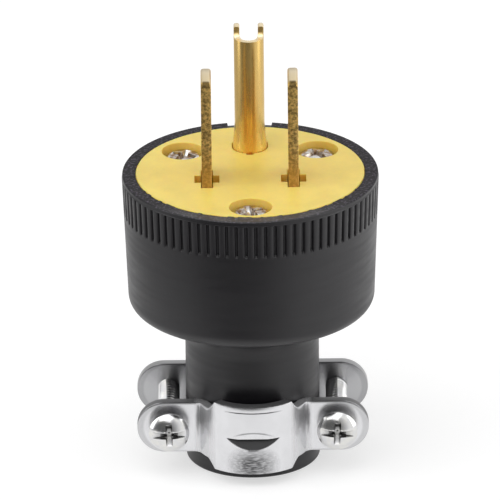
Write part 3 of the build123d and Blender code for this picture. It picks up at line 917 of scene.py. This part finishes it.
class PLUG_OT_terminals(Operator):
    """Finish the wire clamps and terminal screws inside"""

    bl_idname = "plug.terminals"
    bl_label = "Wire terminals"

    def execute(self, context):
        s = context.scene.plug_contact
        plating = context.scene.plug_clamp
        shade_reach = 0.6 * MM
        brass = surface("stamped_terminal_brass", plated_screw, s.brass, s.amber, shade_reach)
        steel = surface("plated_terminal_steel", plated_screw, plating.bright, plating.film, shade_reach)
        green = surface("green_dyed_steel", plated_screw, s.green, s.green, shade_reach)
        for name, screw in (("neutral", steel), ("hot", brass), ("ground", green)):
            dress_node(f"{name}_wire_clamp", brass, s.terminal_edge)
            dress_node(f"{name}_terminal_screw", screw, s.terminal_edge)
        return {"FINISHED"}


class PLUG_OT_face_screws(Operator):
    """Turn the three screws sunk in the face"""

    bl_idname = "plug.face_screws"
    bl_label = "Face screws"

    def execute(self, context):
        s = context.scene.plug_clamp
        shade_reach = 0.45 * MM
        steel = surface("plated_face_screw_steel", plated_screw, s.bright, s.film, shade_reach)
        for name, turn in zip(FACE_SCREWS, (20, 65, 35)):
            low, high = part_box(name)
            seat = high.z - s.face_head_height
            middle = (low + high) / 2
            head = screw_head((high.x - low.x) / 2, s.face_head_height, s.face_head_edge, False, s)
            stand = Matrix.Translation((middle.x, middle.y, seat))
            mesh = screw_mesh(name, head, s.face_shank, seat - low.z, turn, stand, s)
            place_piece(f"turned_{name}", mesh, steel, name)
        return {"FINISHED"}


class PLUG_OT_cord_clamp(Operator):
    """Finish the two stamped halves of the cord clamp"""

    bl_idname = "plug.cord_clamp"
    bl_label = "Cord clamp"

    def execute(self, context):
        s = context.scene.plug_clamp
        zinc = surface("zinc_plated_sheet_steel", plated_sheet, s)
        neck_radius = context.scene.plug_shell.neck_radius
        for name, side in (("front_clamp_half", -1), ("rear_clamp_half", 1)):
            mesh = clamp_half(name, side, neck_radius, s)
            place_piece(f"pressed_{name}", mesh, zinc, name)
        return {"FINISHED"}


class PLUG_OT_clamp_screws(Operator):
    """Turn the two long screws of the cord clamp"""

    bl_idname = "plug.clamp_screws"
    bl_label = "Clamp screws"

    def execute(self, context):
        s = context.scene.plug_clamp
        shade_reach = 1.2 * MM
        steel = surface("plated_clamp_screw_steel", plated_screw, s.bright, s.zinc, shade_reach)
        forward = Matrix.Rotation(radians(90), 4, "X")
        for name, turn in zip(CLAMP_SCREWS, (2, -3)):
            low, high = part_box(name)
            seat = low.y + s.clamp_head_height
            middle = (low + high) / 2
            stand = Matrix.Translation((middle.x, seat, middle.z)) @ forward
            head = screw_head((high.x - low.x) / 2, s.clamp_head_height, s.clamp_head_edge, True, s)
            mesh = screw_mesh(name, head, s.clamp_shank, high.y - seat, turn, stand, s)
            place_piece(f"turned_{name}", mesh, steel, name)
        return {"FINISHED"}


def studio_floor(add, place, s):
    """White studio board: it takes the plug's soft shadow and stays as pale as the backdrop."""
    # The fibre of real board is finer. It is drawn coarser, to show.
    fibre = add("TexNoise", [place, per_mm(2.0), 2.0])
    tone = add("Mix", [fibre, shade(s.backdrop, 0.54), shade(s.backdrop, 0.56)], **COLOURS)
    board = add("BsdfDiffuse", {"Color": tone})
    path = add("LightPath", {})
    seen = add("Math", [path.outputs["Is Camera Ray"], path.outputs["Is Glossy Ray"]], operation="MAXIMUM")
    shown = add("Math", [seen, path.outputs["Is Transmission Ray"]], operation="MAXIMUM")
    lift = add("Math", [shown, 0.56], operation="MULTIPLY")
    glow = add("Emission", {"Color": shade(s.backdrop, 1.0), "Strength": lift})
    return add("AddShader", [board, glow])


def studio_world(s):
    """White backdrop behind the plug, and a dimmer room in front of it for metal and vinyl to reflect."""
    world = bpy.data.worlds.new("studio")
    world.use_nodes = True
    world.node_tree.nodes.clear()
    add = partial(add_node, world.node_tree)
    x, y, _ = add("SeparateXYZ", [add("TexCoord", {}).outputs["Generated"]]).outputs
    forward = add("Math", [x, 0.35, y], operation="MULTIPLY_ADD")
    open_side = add("MapRange", [x, -0.9, 0.2, 0.6, 1.0])
    room = add("MapRange", [forward, -0.95, -0.4, 0.12, open_side])
    path = add("LightPath", {})
    seen = add(
        "Math", [path.outputs["Is Glossy Ray"], path.outputs["Is Transmission Ray"]], operation="MAXIMUM"
    )
    lit = add("Mix", [seen, s.fill, room])
    level = add("Mix", [path.outputs["Is Camera Ray"], lit, 1.0])
    sky = add("Background", {"Color": shade(s.backdrop, 1.0), "Strength": level})
    add("OutputWorld", {"Surface": sky})
    return world


def softbox(name, size, power, place, target):
    """A soft rectangular lamp aimed at the plug."""
    lamp = bpy.data.lights.new(name, "AREA")
    lamp.shape = "RECTANGLE"
    lamp.size, lamp.size_y = size
    lamp.energy = power
    box = new_object(name, lamp)
    box.location = place
    box.rotation_euler = (target - Vector(place)).to_track_quat("-Z", "Y").to_euler()


class PLUG_OT_stage(Operator):
    """Set up the floor, the backdrop, the lamps and the camera"""

    bl_idname = "plug.stage"
    bl_label = "Stage"

    def execute(self, context):
        s = context.scene.plug_stage
        scene = context.scene
        scene.view_settings.view_transform = "Standard"
        scene.world = studio_world(s)
        left, right, front, back = -0.07, 0.4, -0.052, 0.5
        mesh = bpy.data.meshes.new("floor")
        mesh.from_pydata(
            [(left, front, 0), (right, front, 0), (right, back, 0), (left, back, 0)], [], [(0, 1, 2, 3)]
        )
        mesh.materials.append(surface("white_studio_board", studio_floor, s))
        floor = new_object("floor", mesh)
        target = Vector((s.target_shift, 0.0, s.target_height))
        overhead = (-0.12, -0.25, 0.6)
        softbox("overhead softbox", (0.7, 0.7), s.key_power, overhead, target)
        for name, place in (("left strip", (-0.6, -0.1, 0.25)), ("right strip", (0.6, -0.1, 0.25))):
            softbox(name, (0.25, 0.6), s.side_power, place, target)
        camera = bpy.data.cameras.new("camera")
        camera.lens = s.lens
        camera.sensor_width = 36.0
        camera.clip_end = 10.0
        view = new_object("camera", camera)
        line = Vector((0.0, -cos(s.elevation), sin(s.elevation)))
        view.location = target + s.distance * line
        turn = (-line).to_track_quat("-Z", "Y").to_matrix() @ Matrix.Rotation(s.roll, 3, "Z")
        view.rotation_euler = turn.to_euler()
        scene.camera = view
        return {"FINISHED"}


class PLUG_PT_parts(Panel):
    """Sidebar list of the plug's pieces and settings"""

    bl_idname = "PLUG_PT_parts"
    bl_label = "Cord plug"
    bl_space_type = "VIEW_3D"
    bl_region_type = "UI"
    bl_category = "Cord plug"

    def draw(self, context):
        for operator in OPERATORS:
            self.layout.operator(operator.bl_idname)
        for name in SETTINGS:
            box = self.layout.box()
            settings = getattr(context.scene, name)
            for field in settings.bl_rna.properties:
                if field.identifier not in ("rna_type", "name"):
                    box.prop(settings, field.identifier)


SETTINGS = {
    "plug_shell": PlugShellSettings,
    "plug_face": PlugFaceSettings,
    "plug_contact": PlugContactSettings,
    "plug_clamp": PlugClampSettings,
    "plug_stage": PlugStageSettings,
}
OPERATORS = (
    PLUG_OT_shell,
    PLUG_OT_face,
    PLUG_OT_blades,
    PLUG_OT_ground_pin,
    PLUG_OT_terminals,
    PLUG_OT_face_screws,
    PLUG_OT_cord_clamp,
    PLUG_OT_clamp_screws,
    PLUG_OT_stage,
)


def register():
    """Make the settings, operators and panel known to Blender."""
    for name, group in SETTINGS.items():
        bpy.utils.register_class(group)
        setattr(Scene, name, bpy.props.PointerProperty(type=group))
    for operator in OPERATORS:
        bpy.utils.register_class(operator)
    bpy.utils.register_class(PLUG_PT_parts)


def unregister():
    """Take them out again."""
    bpy.utils.unregister_class(PLUG_PT_parts)
    for operator in reversed(OPERATORS):
        bpy.utils.unregister_class(operator)
    for name, group in reversed(SETTINGS.items()):
        delattr(Scene, name)
        bpy.utils.unregister_class(group)


def main():
    """Build every piece and the stage."""
    register()
    bpy.ops.plug.shell()
    bpy.ops.plug.face()
    bpy.ops.plug.blades()
    bpy.ops.plug.ground_pin()
    bpy.ops.plug.terminals()
    bpy.ops.plug.face_screws()
    bpy.ops.plug.cord_clamp()
    bpy.ops.plug.clamp_screws()
    bpy.ops.plug.stage()


if __name__ == "__main__":
    main()
